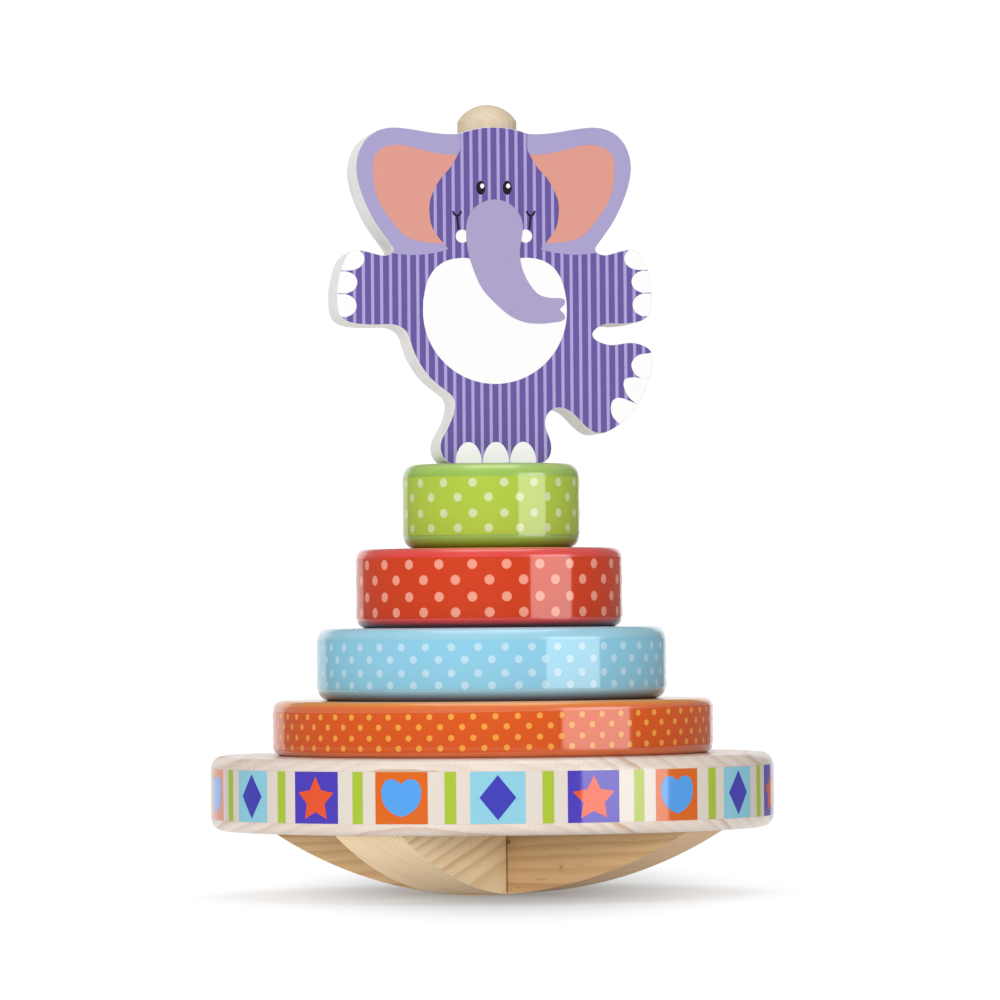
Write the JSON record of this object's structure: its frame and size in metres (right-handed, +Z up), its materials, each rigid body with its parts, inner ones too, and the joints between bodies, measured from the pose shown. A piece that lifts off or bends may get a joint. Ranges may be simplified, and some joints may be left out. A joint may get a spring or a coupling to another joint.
{
  "type": "stacking ring toy",
  "caption": "Rocking wooden stacking toy: a disc on crossed curved rockers with a centre post, tapering painted rings and a flat elephant that slides on top.",
  "frame": {"origin": "on the floor, on the post's axis, under the middle of the rocker", "axes": "+Z up along the post, -Y is the side the elephant faces, +X to its viewer's right"},
  "size_m": [0.19, 0.19, 0.2666],
  "materials": {
    "disc_pine": "clear satin lacquer on pine",
    "rocker_pine": "bare sanded pine",
    "post_wood": "sanded hardwood rod",
    "dowel_wood": "fluted beech dowel",
    "orange_paint": "gloss orange paint on wood",
    "blue_paint": "gloss light blue paint on wood",
    "red_paint": "gloss red paint on wood",
    "green_paint": "gloss green paint on wood",
    "white_paint": "satin white paint on wood",
    "base_print": "glossy printed film with squares and bars",
    "orange_print": "glossy printed film with dots",
    "blue_print": "glossy printed film with dots",
    "red_print": "glossy printed film with dots",
    "green_print": "glossy printed film with dots",
    "elephant_print": "satin printed film with stripes"
  },
  "bodies": {
    "base": {"rocker_board_long": "rocker_pine", "rocker_board_cross": "rocker_pine", "rocker_dowel_1": "dowel_wood", "rocker_dowel_2": "dowel_wood", "rocker_dowel_3": "dowel_wood", "rocker_dowel_4": "dowel_wood", "base_disc": "disc_pine", "base_band": "base_print", "centre_post": "post_wood"},
    "orange_ring": {"orange_ring": "orange_paint", "orange_band": "orange_print"},
    "blue_ring": {"blue_ring": "blue_paint", "blue_band": "blue_print"},
    "red_ring": {"red_ring": "red_paint", "red_band": "red_print"},
    "green_ring": {"green_ring": "green_paint", "green_band": "green_print"},
    "elephant": {"elephant_block": "white_paint", "elephant_front_print": "elephant_print", "elephant_back_print": "elephant_print"}
  },
  "joints": [
    {"name": "orange_lift", "type": "slide", "parent": "base", "child": "orange_ring", "axis": [0, 0, 1], "range_m": [0, 0.225]},
    {"name": "blue_lift", "type": "slide", "parent": "orange_ring", "child": "blue_ring", "axis": [0, 0, 1], "range_m": [0, 0.205]},
    {"name": "red_lift", "type": "slide", "parent": "blue_ring", "child": "red_ring", "axis": [0, 0, 1], "range_m": [0, 0.182]},
    {"name": "green_lift", "type": "slide", "parent": "red_ring", "child": "green_ring", "axis": [0, 0, 1], "range_m": [0, 0.155]},
    {"name": "elephant_lift", "type": "slide", "parent": "green_ring", "child": "elephant", "axis": [0, 0, 1], "range_m": [0, 0.127]}
  ]
}
